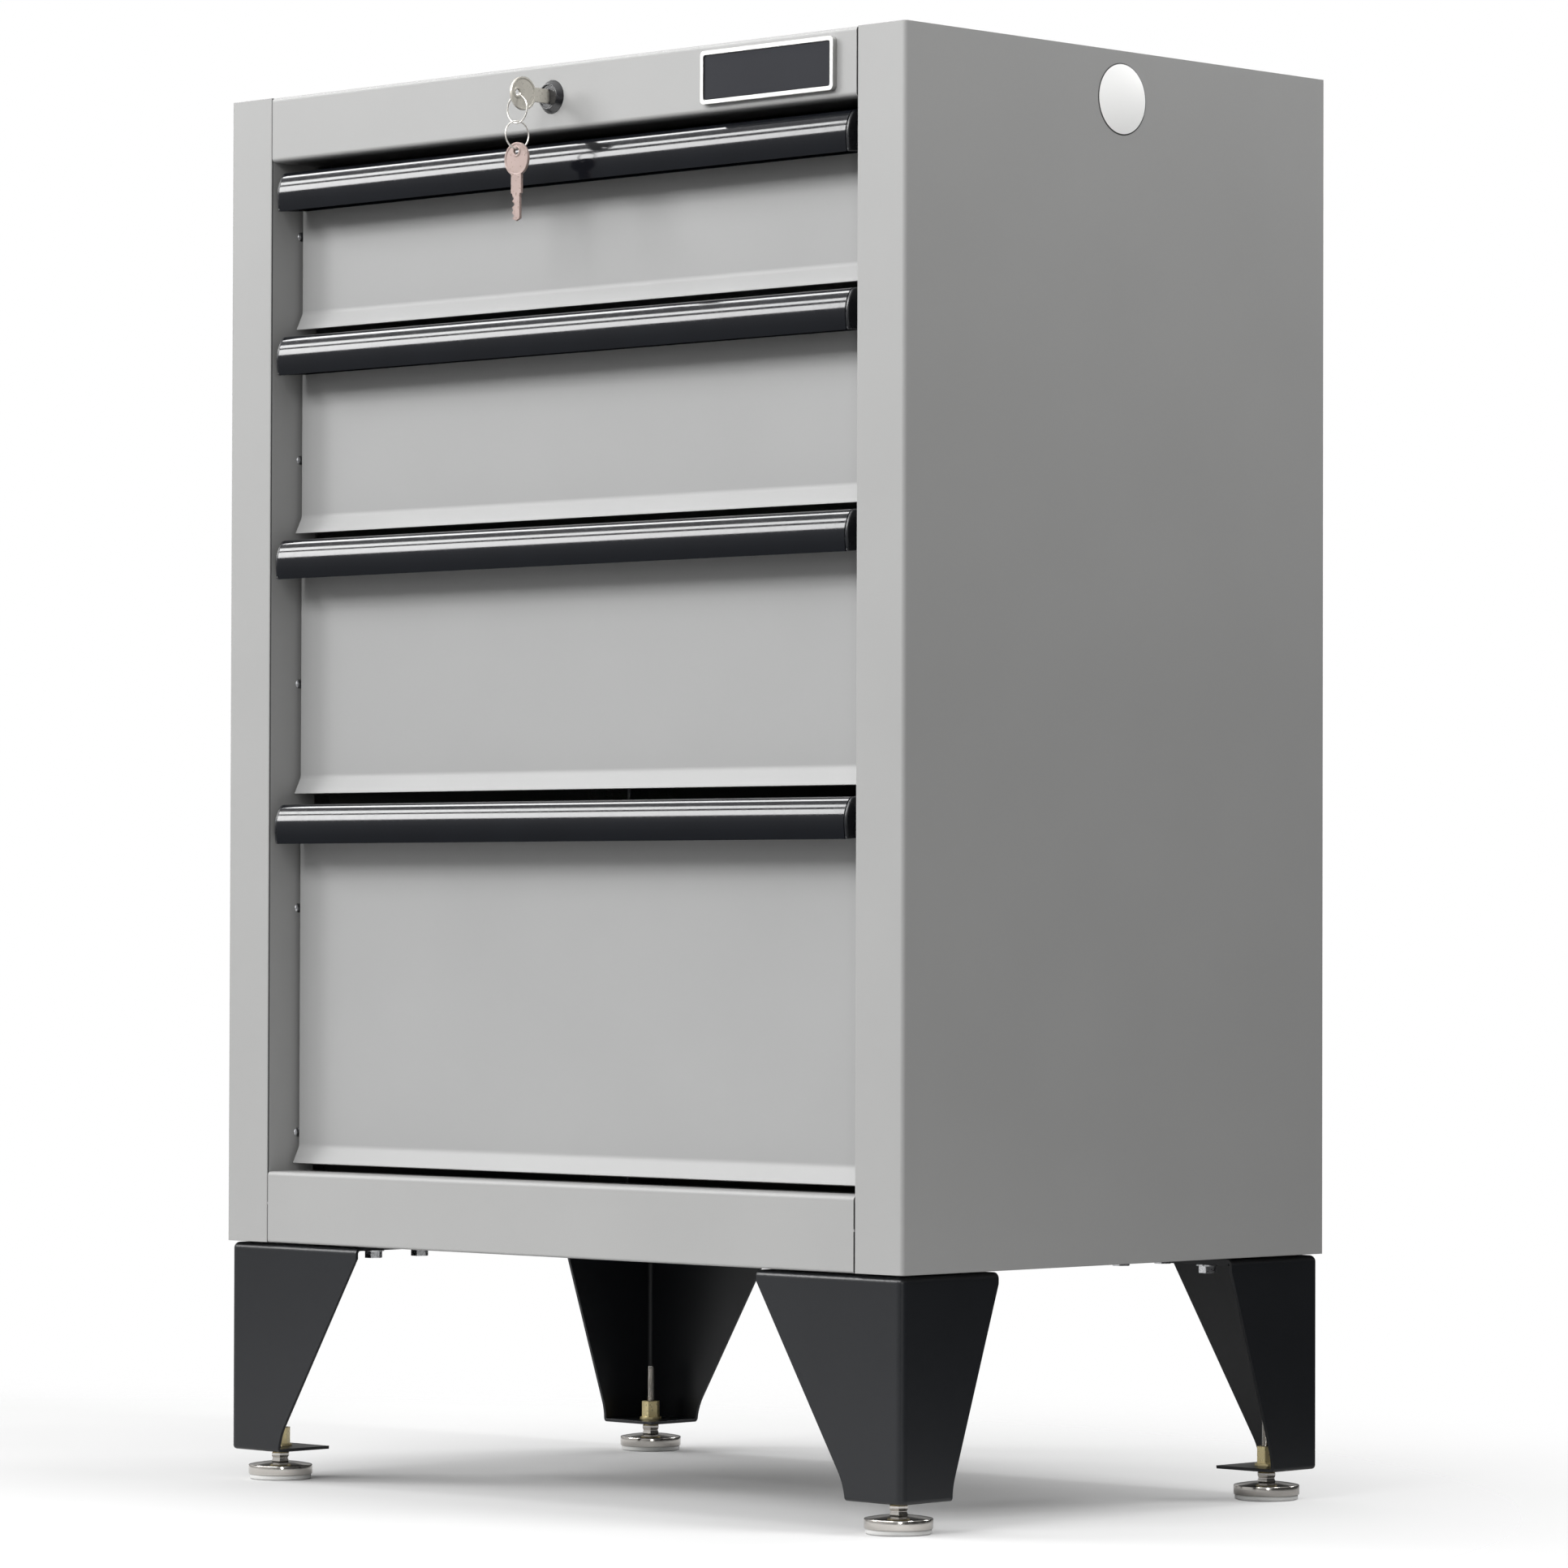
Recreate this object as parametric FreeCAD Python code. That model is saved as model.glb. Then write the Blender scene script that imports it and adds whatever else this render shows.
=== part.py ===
# Tool cabinet with four drawers on corner legs.
# X runs across the front, Y runs to the back, Z is up, in millimetres.
# The model is laid out from the middle of the body's underside. On export it is
# moved so that its origin is the middle of its bounding box, on the floor.

import FreeCAD
import Part
import math
import os

from FreeCAD import Vector

# Body
body_width = 610.0
body_depth = 395.0
body_height = 753.0
body_sheet = 1.0
outer_bend = 1.6
return_bend = 0.5
stile_width = 40.0
stile_return = 40.0
top_rail_height = 42.5
bottom_rail_height = 46.5
rail_lip = 10.0
rear_lip = 18.0
floor_lip = 10.0
floor_lip_front_gap = 47.5

# Slide posts and their rivets
post_sheet = 1.5
post_bend = 1.0
front_post_setback = 15.5
front_post_width = 40.0
rear_post_setback = 15.0
rear_post_width = 44.0
rivet_setback = 26.0
rivet_first_height = 71.7
rivet_last_drop = 89.7
rivet_count = 5
rivet_shank = 4.0
rivet_head = 6.0
rivet_head_height = 1.2

# Drawer fronts from the top down. The lowest one takes the height that is left.
handle_gaps = [6.9, 5.5, 5.2, 7.4]
face_heights = [102.5, 129.0, 166.5]
lowest_gap = 5.3
front_setback = 25.0
front_side_gap = 3.0
drawer_sheet = 1.0
flare_height = 11.0
flare_reach = 5.5
flare_bend = 7.0

# Handles
handle_wall = 1.8
handle_side_gap = 6.0
handle_height = 26.0
handle_top_flat_end = 16.0
handle_top_corner = 1.5
handle_crest_depth = -1.8
handle_crest_drop = 15.0
handle_lower_depth = 0.5
handle_slope_drop = 9.0
handle_tab = 15.0
handle_tab_bend = 1.0
handle_corner_radius = 8.0
handle_crest_radius = 28.0
cap_thickness = 2.5
front_top_gap = 0.6

# Drawer boxes
travel = 250.0
box_back_gap = 45.0
box_above_flare = 10.0
box_below_handle = 14.0
box_corner = 3.0

# Telescopic slides, each of three nested channels
slide_overlap = 50.0
slide_thickness = 12.7
slide_height = 45.0
slide_sheet = 1.2
slide_gap = 0.3
slide_front_gap = 2.5
outer_flange = 9.0
slide_lip = 2.2
inner_half_height = 14.0
slide_above_box_floor = 30.0

# Lock barrel and plug
lock_drop = 21.2
bezel_base = 21.5
bezel_face = 16.0
bezel_reach = 4.0
barrel_diameter = 18.0
barrel_length = 26.0
lock_nut_across = 24.0
lock_nut_thickness = 4.0
thread_fit = 0.05
plug_diameter = 13.0
plug_fit = 0.1
plug_head_diameter = 14.4
plug_head_length = 2.0
plug_recess = 0.6
plug_collar = 17.0
plug_collar_length = 2.0
keyway_fit = 0.1

# Rod, crank and lock bar
rod_diameter = 8.0
crank_thickness = 4.0
crank_width = 12.0
crank_pin = 4.0
crank_pin_tail = 2.0
lock_lift = 8.0
bar_thickness = 3.0
bar_width = 20.0
bar_low_end = 30.0
bar_clear = 0.3
bar_setback = 26.0
bar_head_above = 4.0
bar_head_beside = 3.0
slot_lost_motion = 0.22
hook_tooth = 8.0
hook_plate = 2.2
hook_width = 14.0
hook_catch_gap = 0.6
catch_reach = 14.0
catch_plate = 2.0
catch_tooth = 6.0
catch_width = 16.0
catch_above_box_floor = 52.0
hook_under_catch = 3.0
guide_wall = 3.7
guide_height = 18.0
guide_low_rise = 98.2
guide_high_drop = 41.1
bearing_width = 24.0
bearing_thickness = 3.0
bearing_drop = 10.0
bearing_gap = 8.0

# Key and spare key
key_length = 49.5
key_bow = 21.0
key_thickness = 1.8
key_shoulder = 32.2
key_shaft = 9.0
key_blade = 6.6
key_hole = 4.6
key_hole_from_end = 5.6
key_tip = 1.6
key_cuts = [1.3, 2.0, 0.9, 1.6]
key_cut_pitch = 3.6
key_cut_first = 3.2
key_cut_slope = 0.6
key_cut_floor = 1.0
key_stop_gap = 0.25
key_rim = 1.2
key_relief = 0.3

# Key rings
ring_diameter = 18.6
ring_wire = 1.0
ring_play = 0.3
lower_ring_turn = 81.0

# Nameplate
plate_width = 113.0
plate_height = 33.0
plate_thickness = 3.5
plate_side_gap = 57.0
plate_corner = 3.0
plate_border = 2.6
plate_recess = 1.4
field_corner = 1.5
insert_thickness = 0.6
insert_gap = 0.3

# Legs
leg_inset = 2.0
leg_sheet = 2.0
leg_height = 137.5
leg_pad_height = 1.0
leg_pad_diameter = 20.0
leg_top_x = 122.0
leg_top_y = 86.0
leg_foot_x = 47.0
leg_foot_y = 45.0
leg_straight = 8.0
leg_edge_radius = 40.0
leg_slope_start = 7.0
leg_corner = 5.0
leg_top_bend = 4.0
leg_foot_bend = 2.5
leg_doubler_x = 52.0
leg_doubler_gap = 1.0

# Leg bolts, as distances from the leg's two outer faces
single_bolts = [(103.0, 33.0), (103.0, 74.0)]
double_bolt = (33.0, 71.0)
bolt_diameter = 6.0
bolt_flange = 14.0
bolt_flange_thickness = 1.5
bolt_hex = 10.0
bolt_hex_height = 4.5
bolt_hole_fit = 0.3
bolt_tail = 2.0
nut_height = 5.0

# Levelling feet
foot_x = 24.0
foot_y = 23.0
stand_height = 157.0
pad_diameter = 40.0
pad_height = 3.0
pad_round = 1.0
cap_diameter = 42.0
cap_side = 5.5
cap_bevel = 1.0
cap_dome = 3.2
shank_across = 11.0
insert_flange = 15.0
insert_collar = 1.5
insert_hex = 11.0
insert_height = 12.4
insert_neck = 9.0
stud_diameter = 6.0
stud_fit = 0.05
stud_above_plate = 37.0
foot_gap = 0.3

# How far a cutting shape reaches past what it cuts, and a cutting block past a leg
past = 1.0
trim_reach = 60.0

# Coordinates closer together than this are the same
tiny = 1e-4

# Sizes worked out from the above
half_width = body_width / 2
front = -body_depth / 2
rear = body_depth / 2
opening = half_width - stile_width
post_face = opening + body_sheet
panel_front = front + front_setback
panel_back = panel_front + drawer_sheet
panel_half = opening - front_side_gap
handle_half = opening - handle_side_gap
handle_bends = [handle_tab_bend, handle_tab_bend, handle_corner_radius - handle_wall,
                handle_crest_radius - handle_wall]
box_half = post_face - slide_thickness
box_front = panel_back
slide_front = front + stile_return + slide_front_gap
slide_length = travel + slide_overlap
lock_z = body_height - lock_drop
back_inner = rear - 2 * body_sheet
box_rear = back_inner - box_back_gap
rivet_spacing = (body_height - rivet_first_height - rivet_last_drop) / (rivet_count - 1)
plate_centre_x = half_width - plate_side_gap - plate_width / 2
bar_rear = back_inner + body_sheet - bar_setback + bar_thickness
bar_front = bar_rear - bar_thickness
crank_rear = bar_front - bar_clear
crank_front = crank_rear - crank_thickness
bezel_front = front - bezel_reach
plug_front = bezel_front + plug_recess
barrel_rear = front + barrel_length
plug_rear = barrel_rear + bar_clear + plug_collar_length
key_end = plug_front - key_stop_gap - key_shoulder
hang_y = key_end + key_hole_from_end
ring_mid = (ring_diameter - ring_wire) / 2
upper_ring_top = lock_z - key_hole / 2 + ring_play + ring_wire / 2
upper_ring_z = upper_ring_top - ring_mid
lower_ring_top = upper_ring_z - ring_mid + ring_wire + ring_play
lower_ring_z = lower_ring_top - ring_mid
spare_hole_z = lower_ring_z - ring_mid + ring_wire / 2 + ring_play - key_hole / 2
spare_end_z = spare_hole_z + key_hole_from_end
leg_flange_top = -leg_pad_height
leg_bottom = -leg_height
plate_top = leg_bottom + leg_sheet

# Heights of each drawer's handle top and of its flare's lower edge
handle_tops = []
flare_bottoms = []
level = body_height - top_rail_height
for gap, height in zip(handle_gaps, face_heights):
    handle_tops.append(level - gap)
    level -= gap + height
    flare_bottoms.append(level)
handle_tops.append(level - handle_gaps[-1])
flare_bottoms.append(bottom_rail_height + lowest_gap)
guide_heights = [flare_bottoms[-1] + guide_low_rise, flare_bottoms[0] - guide_high_drop]

# The furthest point in front is the lower key ring, which hangs nearly edge on.
ring_reach = ring_mid * math.sin(math.radians(lower_ring_turn)) + ring_wire / 2
front_reach = min(hang_y - ring_reach, key_end)
centre_shift = Vector(0, -(front_reach + rear) / 2, stand_height)

X = Vector(1, 0, 0)
Y = Vector(0, 1, 0)
Z = Vector(0, 0, 1)


def save(name, *solids):
    """Write one node, moved to the part's own origin."""
    shape = solids[0] if len(solids) == 1 else Part.makeCompound(list(solids))
    shape = shape.copy()
    shape.translate(centre_shift)
    shape.exportStep("parts/" + name + ".step")


def box(x0, x1, y0, y1, z0, z1):
    return Part.makeBox(x1 - x0, y1 - y0, z1 - z0, Vector(x0, y0, z0))


def cylinder(diameter, start, length, axis):
    return Part.makeCylinder(diameter / 2, length, start, axis)


def cone(diameter_start, diameter_end, start, length, axis):
    return Part.makeCone(diameter_start / 2, diameter_end / 2, length, start, axis)


def hexagon(across, start, length, axis):
    """A hexagonal prism, with two of its corners on the axis's first side direction."""
    radius = across / math.sqrt(3)
    side = X if abs(axis.dot(X)) < 0.5 else Y
    other = axis.cross(side)
    corners = []
    for step in range(7):
        angle = math.radians(60 * step)
        corners.append(start + side * (radius * math.cos(angle)) + other * (radius * math.sin(angle)))
    return Part.Face(Part.makePolygon(corners)).extrude(axis * length)


def mirrored_x(shape):
    return shape.mirror(Vector(0, 0, 0), X)


def mirrored_y(shape):
    return shape.mirror(Vector(0, 0, 0), Y)


def in_plan(u, v):
    return Vector(u, v, 0)


def in_side(u, v):
    return Vector(0, u, v)


def bend_points(before, corner, after, inner, thickness):
    """Where a bend starts, its middle and its end, on the path face and on the far face."""
    first = (corner - before).normalize()
    second = (after - corner).normalize()
    turn = first.x * second.y - first.y * second.x
    angle = math.acos(max(-1.0, min(1.0, first.dot(second))))
    side = 1 if turn > 0 else -1
    near = inner + thickness if side > 0 else inner
    far = near - side * thickness
    reach = near * math.tan(angle / 2)
    normal = Vector(-first.y, first.x, 0) * side
    centre = corner - first * reach + normal * near
    middle = (corner - centre).normalize()
    end_normal = Vector(-second.y, second.x, 0) * side
    faces = []
    for radius in (near, far):
        faces.append([centre - normal * radius, centre + middle * radius, centre - end_normal * radius])
    return faces


def sheet_face(points, thickness, radii, place):
    """The section of a bent sheet. The points are its outer face, and it lies to their left."""
    path = [Vector(u, v, 0) for u, v in points]
    near = path[0]
    first = (path[1] - path[0]).normalize()
    far = path[0] + Vector(-first.y, first.x, 0) * thickness
    bends_near = []
    bends_far = []
    for index in range(1, len(path) - 1):
        on_near, on_far = bend_points(path[index - 1], path[index], path[index + 1],
                                      radii[index - 1], thickness)
        bends_near.append(on_near)
        bends_far.append(on_far)
    last = (path[-1] - path[-2]).normalize()
    near_end = path[-1]
    far_end = path[-1] + Vector(-last.y, last.x, 0) * thickness
    edges = run_edges(near, bends_near, near_end)
    edges.append((near_end, far_end))
    backward = [list(reversed(bend)) for bend in reversed(bends_far)]
    edges += run_edges(far_end, backward, far)
    edges.append((far, near))
    return face_inside(edges, place)


def run_edges(start, bends, end):
    edges = []
    here = start
    for bend in bends:
        edges.append((here, bend[0]))
        edges.append(tuple(bend))
        here = bend[2]
    edges.append((here, end))
    return edges


def face_inside(edges, place):
    """The face inside a closed run of lines and three-point arcs, set in space."""
    made = []
    for edge in edges:
        spots = [place(p.x, p.y) for p in edge]
        if len(spots) == 3:
            made.append(Part.Arc(*spots).toShape())
        else:
            made.append(Part.LineSegment(*spots).toShape())
    return Part.Face(Part.Wire(Part.__sortEdges__(made)))


def bent_upright(points, thickness, radii, z0, z1):
    """A bent sheet whose section is seen from above."""
    face = sheet_face(points, thickness, radii, in_plan)
    face.translate(Vector(0, 0, z0))
    return face.extrude(Z * (z1 - z0))


def bent_across(points, thickness, radii, x0, x1):
    """A bent sheet whose section is seen from the side, given as depth and height."""
    face = sheet_face(points, thickness, radii, in_side)
    face.translate(Vector(x0, 0, 0))
    return face.extrude(X * (x1 - x0))


def rounded(shape, radius, wanted):
    """Round the edges that the test picks."""
    edges = [edge for edge in shape.Edges if wanted(edge)]
    return shape.makeFillet(radius, edges)


def is_upright(edge):
    ends = [vertex.Point for vertex in edge.Vertexes]
    if len(ends) != 2:
        return False
    along = ends[1] - ends[0]
    return abs(along.x) < tiny and abs(along.y) < tiny


def edge_at(edge, **where):
    """True where the whole edge has the given coordinates."""
    bounds = edge.BoundBox
    for axis, value in where.items():
        low = getattr(bounds, axis.upper() + "Min")
        high = getattr(bounds, axis.upper() + "Max")
        if abs(low - value) > tiny or abs(high - value) > tiny:
            return False
    return True


# Body

def leg_bolt_places():
    """Bolt centres on the underside, each with the thickness of leg sheet under it."""
    places = []
    for sx in (-1, 1):
        for sy in (-1, 1):
            for a, b in single_bolts:
                places.append((sx, sy, a, b, leg_sheet))
            places.append((sx, sy, double_bolt[0], double_bolt[1], 2 * leg_sheet))
    return places


def bolt_centre(sx, sy, a, b):
    return Vector(sx * (half_width - leg_inset - a), sy * (rear - leg_inset - b), 0)


def with_bolt_holes(shape):
    for sx, sy, a, b, _ in leg_bolt_places():
        start = bolt_centre(sx, sy, a, b) - Z * past
        hole = cylinder(bolt_diameter + 2 * bolt_hole_fit, start, body_sheet + 2 * past, Z)
        shape = shape.cut(hole)
    return shape


def rivet_heights():
    return [rivet_first_height + index * rivet_spacing for index in range(rivet_count)]


def left_side():
    """Side wall with its stile, inner return and rear lip, closed at top and bottom."""
    outline = [(-half_width + rear_lip, rear), (-half_width, rear), (-half_width, front),
               (-opening, front), (-opening, front + stile_return)]
    bends = [return_bend, outer_bend, return_bend]
    wall = bent_upright(outline, body_sheet, bends, 0, body_height)
    strip = box(-half_width, -opening, front, rear, 0, body_sheet)
    floor = box(-opening, -opening + floor_lip, front + floor_lip_front_gap, rear, 0, body_sheet)
    lid = box(-half_width, -opening, front, rear, body_height - body_sheet, body_height)
    corner = outer_bend + body_sheet
    small = return_bend + body_sheet
    caps = strip.fuse(lid).common(bent_block(corner, small))
    shape = wall.fuse([caps, floor]).removeSplitter()
    for height in rivet_heights():
        start = Vector(-post_face - past, front + rivet_setback, height)
        shape = shape.cut(cylinder(rivet_shank, start, body_sheet + 2 * past, X))
    return with_bolt_holes(shape)


def bent_block(corner, small):
    """The column's outer shape, rounded like the bends of its wall."""
    block = box(-half_width, -opening, front, rear, 0, body_height)
    block = rounded(block, corner, lambda e: edge_at(e, x=-half_width, y=front))
    block = rounded(block, small, lambda e: edge_at(e, x=-opening, y=front))
    return rounded(block, small, lambda e: edge_at(e, x=-half_width, y=rear))


def top_panel():
    outline = [(rear, body_height - rear_lip), (rear, body_height), (front, body_height),
               (front, body_height - top_rail_height),
               (front + stile_return, body_height - top_rail_height),
               (front + stile_return, body_height - top_rail_height + rail_lip)]
    bends = [return_bend, outer_bend, outer_bend, return_bend]
    panel = bent_across(outline, body_sheet, bends, -opening, opening)
    hole = cylinder(barrel_diameter + 2 * bolt_hole_fit, Vector(0, front - past, lock_z),
                    body_sheet + 2 * past, Y)
    return panel.cut(hole)


def bottom_panel():
    outline = [(front + stile_return, bottom_rail_height - rail_lip),
               (front + stile_return, bottom_rail_height), (front, bottom_rail_height),
               (front, 0), (rear, 0), (rear, rear_lip)]
    bends = [return_bend, outer_bend, return_bend, return_bend]
    panel = bent_across(outline, body_sheet, bends, -opening, opening)
    small = return_bend + body_sheet
    for side in (-1, 1):
        x0, x1 = sorted((side * opening, side * (opening - floor_lip)))
        panel = panel.cut(box(x0, x1, front + floor_lip_front_gap, rear, -past, body_sheet))
        panel = panel.cut(box(x0, x1, rear - small, rear + past, -past, rear_lip + past))
    return with_bolt_holes(panel)


def back_panel():
    edge = half_width - body_sheet - return_bend
    low = body_sheet + return_bend
    return box(-edge, edge, back_inner, back_inner + body_sheet, low, body_height - low)


def left_posts():
    """Two upright channels that carry the slides, welded across the side column."""
    posts = []
    spans = [(front + front_post_setback, front_post_width),
             (back_inner - rear_post_setback - rear_post_width, rear_post_width)]
    wall = half_width - body_sheet
    for start, width in spans:
        outline = [(-wall, start), (-post_face, start), (-post_face, start + width),
                   (-wall, start + width)]
        posts.append(bent_upright(outline, post_sheet, [post_bend, post_bend],
                                  body_sheet, body_height - body_sheet))
    holed = posts[0]
    for height in rivet_heights():
        start = Vector(-post_face - post_sheet - past, front + rivet_setback, height)
        holed = holed.cut(cylinder(rivet_shank, start, post_sheet + 2 * past, X))
    return [holed, posts[1]]


def rivets():
    """Dome-headed rivets through the left and right returns and the front posts."""
    made = []
    for height in rivet_heights():
        start = Vector(-opening, front + rivet_setback, height)
        shank = cylinder(rivet_shank, start, body_sheet + post_sheet, -X)
        head_radius = rivet_head / 2
        sphere_radius = (head_radius ** 2 + rivet_head_height ** 2) / (2 * rivet_head_height)
        ball = Part.makeSphere(sphere_radius, start + X * (rivet_head_height - sphere_radius))
        head = ball.common(cylinder(rivet_head, start, rivet_head_height, X))
        tail = cylinder(rivet_head, start - X * (body_sheet + post_sheet), rivet_head_height, -X)
        made.append(shank.fuse([head, tail]))
    return made + [mirrored_x(rivet) for rivet in made]


# Drawers

def drawer_front(top, bottom):
    """Front sheet, recessed behind the stiles, with a flare along its lower edge."""
    shoulder = top - handle_slope_drop - front_top_gap
    outline = [(panel_front, shoulder), (panel_front, bottom + flare_height),
               (panel_front - flare_reach, bottom)]
    return bent_across(outline, drawer_sheet, [flare_bend], -panel_half, panel_half)


def handle_outline(top):
    """The handle's outer face from its fixing tab over the crest to its lower edge."""
    return [(panel_front, top - handle_slope_drop - handle_tab),
            (panel_front, top - handle_slope_drop),
            (front + handle_top_flat_end, top),
            (front + handle_top_corner, top),
            (front + handle_crest_depth, top - handle_crest_drop),
            (front + handle_lower_depth, top - handle_height)]


def handle(top):
    half = handle_half - cap_thickness
    return bent_across(handle_outline(top), handle_wall, handle_bends, -half, half)


def handle_caps(top):
    """A plate that closes each end of the handle, to the handle's own outline."""
    outer = sheet_outline(top)
    left = outer.copy()
    left.translate(Vector(-handle_half, 0, 0))
    right = outer.copy()
    right.translate(Vector(handle_half - cap_thickness, 0, 0))
    return [left.extrude(X * cap_thickness), right.extrude(X * cap_thickness)]


def sheet_outline(top):
    """The filled end view of the handle, closed straight across its open side."""
    path = [Vector(u, v, 0) for u, v in handle_outline(top)]
    bends = []
    for index in range(1, len(path) - 1):
        bends.append(bend_points(path[index - 1], path[index], path[index + 1],
                                 handle_bends[index - 1], handle_wall)[0])
    edges = run_edges(path[0], bends, path[-1])
    edges.append((path[-1], path[0]))
    return face_inside(edges, in_side)


def catch_level(bottom):
    return bottom + box_above_flare + catch_above_box_floor


def drawer_box(top, bottom):
    """Open box with rounded corners, and the lock catch on its back wall."""
    z0 = bottom + box_above_flare
    z1 = top - box_below_handle
    outer = box(-box_half, box_half, box_front, box_rear, z0, z1)
    outer = rounded(outer, box_corner, is_upright)
    inner = box(-box_half + drawer_sheet, box_half - drawer_sheet, box_front + drawer_sheet,
                box_rear - drawer_sheet, z0 + drawer_sheet, z1 + past)
    inner = rounded(inner, box_corner - drawer_sheet, is_upright)
    tray = outer.cut(inner)
    level = catch_level(bottom)
    end = box_rear + catch_reach
    half = catch_width / 2
    arm = box(-half, half, box_rear, end, level, level + catch_plate)
    tooth = box(-half, half, end - catch_plate, end, level - catch_tooth, level + catch_plate)
    return tray.fuse([arm, tooth]).removeSplitter()


# Slides, as sections across the slide: distance from the post, and half height

def slide_part(section, y0, y1, level, side):
    points = []
    for depth, rise in section:
        points.append(Vector(side * (post_face - depth), y0, level + rise))
    points.append(points[0])
    return Part.Face(Part.makePolygon(points)).extrude(Y * (y1 - y0))


def channel_section(web, flange, half, thickness, lip):
    """A C channel whose web stands at the first distance and whose lips turn inward."""
    inside = half - thickness
    return [(web, half), (flange, half), (flange, inside - lip), (flange - thickness, inside - lip),
            (flange - thickness, inside), (web + thickness, inside), (web + thickness, -inside),
            (flange - thickness, -inside), (flange - thickness, -inside + lip),
            (flange, -inside + lip), (flange, -half), (web, -half)]


def hat_section(foot, web, half, thickness, brim):
    """A hat channel whose brim runs inside the middle channel and whose web is on the drawer."""
    inside = half - thickness
    return [(foot, brim), (foot, inside), (web - thickness, inside), (web - thickness, -inside),
            (foot, -inside), (foot, -brim), (foot + thickness, -brim), (foot + thickness, -half),
            (web, -half), (web, half), (foot + thickness, half), (foot + thickness, brim)]


def slide_sections():
    """Outer, middle and inner channel. The middle one passes the heads of the rivets."""
    t = slide_sheet
    outer_half = slide_height / 2
    middle_web = body_sheet + rivet_head_height + slide_gap
    middle_half = outer_half - t - slide_gap
    middle_flange = outer_flange - t - slide_gap
    brim = middle_half - t - slide_gap
    outer = channel_section(0.0, outer_flange, outer_half, t, slide_lip)
    middle = channel_section(middle_web, middle_flange, middle_half, t, slide_lip)
    inner = hat_section(middle_web + t + slide_gap, slide_thickness, inner_half_height, t, brim)
    return outer, middle, inner


def slide_level(bottom):
    return bottom + box_above_flare + slide_above_box_floor


# Lock

def lock_barrel():
    cap = cone(bezel_face, bezel_base, Vector(0, bezel_front, lock_z), bezel_reach, Y)
    barrel = cylinder(barrel_diameter, Vector(0, front, lock_z), barrel_length, Y)
    bore = cylinder(plug_diameter + 2 * plug_fit, Vector(0, bezel_front - past, lock_z),
                    barrel_length + bezel_reach + 2 * past, Y)
    pocket = cylinder(plug_head_diameter + 2 * plug_fit, Vector(0, bezel_front - past, lock_z),
                      past + plug_recess + plug_head_length + plug_fit, Y)
    return cap.fuse(barrel).cut(bore).cut(pocket).removeSplitter()


def lock_nut():
    start = Vector(0, front + body_sheet, lock_z)
    nut = hexagon(lock_nut_across, start, lock_nut_thickness, Y)
    return nut.cut(cylinder(barrel_diameter + 2 * thread_fit, start, lock_nut_thickness, Y))


def lock_plug():
    head = cylinder(plug_head_diameter, Vector(0, plug_front, lock_z), plug_head_length, Y)
    shank = cylinder(plug_diameter, Vector(0, plug_front, lock_z), plug_rear - plug_front, Y)
    collar = cylinder(plug_collar, Vector(0, plug_rear - plug_collar_length, lock_z),
                      plug_collar_length, Y)
    slot_half = key_thickness / 2 + keyway_fit
    slot_rise = key_blade / 2 + keyway_fit
    depth = key_length - key_shoulder + key_stop_gap
    slot = box(-slot_half, slot_half, plug_front - past, plug_front + depth, lock_z - slot_rise,
               lock_z + slot_rise)
    return head.fuse([shank, collar]).cut(slot).removeSplitter()


def lock_rod():
    return cylinder(rod_diameter, Vector(0, plug_rear, lock_z), crank_front - plug_rear, Y)


def lock_crank():
    """Crank arm on the end of the rod, with a pin that reaches through the bar's slot."""
    half = crank_width / 2
    arm = box(0, lock_lift, crank_front, crank_rear, lock_z - half, lock_z + half)
    hub = cylinder(crank_width, Vector(0, crank_front, lock_z), crank_thickness, Y)
    end = cylinder(crank_width, Vector(lock_lift, crank_front, lock_z), crank_thickness, Y)
    pin = cylinder(crank_pin, Vector(lock_lift, crank_rear, lock_z),
                   bar_clear + bar_thickness + crank_pin_tail, Y)
    return arm.fuse([hub, end, pin]).removeSplitter()


def hook_parts(bottom):
    """Hook on the lock bar: it rises in front of the drawer's catch when locked."""
    tooth_top = catch_level(bottom) - catch_tooth - hook_under_catch
    arm_top = tooth_top - hook_tooth
    half = hook_width / 2
    tooth_rear = box_rear + catch_reach - catch_plate - hook_catch_gap
    tooth_front = tooth_rear - hook_plate
    arm = box(-half, half, tooth_front, bar_front, arm_top - hook_plate, arm_top)
    tooth = box(-half, half, tooth_front, tooth_rear, arm_top - hook_plate, tooth_top)
    return [arm, tooth]


def lock_bar():
    half = bar_width / 2
    slot_half = crank_pin / 2 + bar_clear
    slot_top = slot_half + slot_lost_motion * lock_lift
    head_rise = slot_top + bar_head_above
    head_half = lock_lift + crank_pin + bar_clear + bar_head_beside
    stem = box(-half, half, bar_front, bar_rear, bar_low_end, lock_z)
    head = box(-head_half, head_half, bar_front, bar_rear, lock_z - half, lock_z + head_rise)
    pieces = [head]
    for bottom in flare_bottoms:
        pieces += hook_parts(bottom)
    slot = box(-slot_half, lock_lift + slot_half, bar_front - past, bar_rear + past,
               lock_z - slot_half, lock_z + slot_top)
    return stem.fuse(pieces).cut(slot).removeSplitter()


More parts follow.
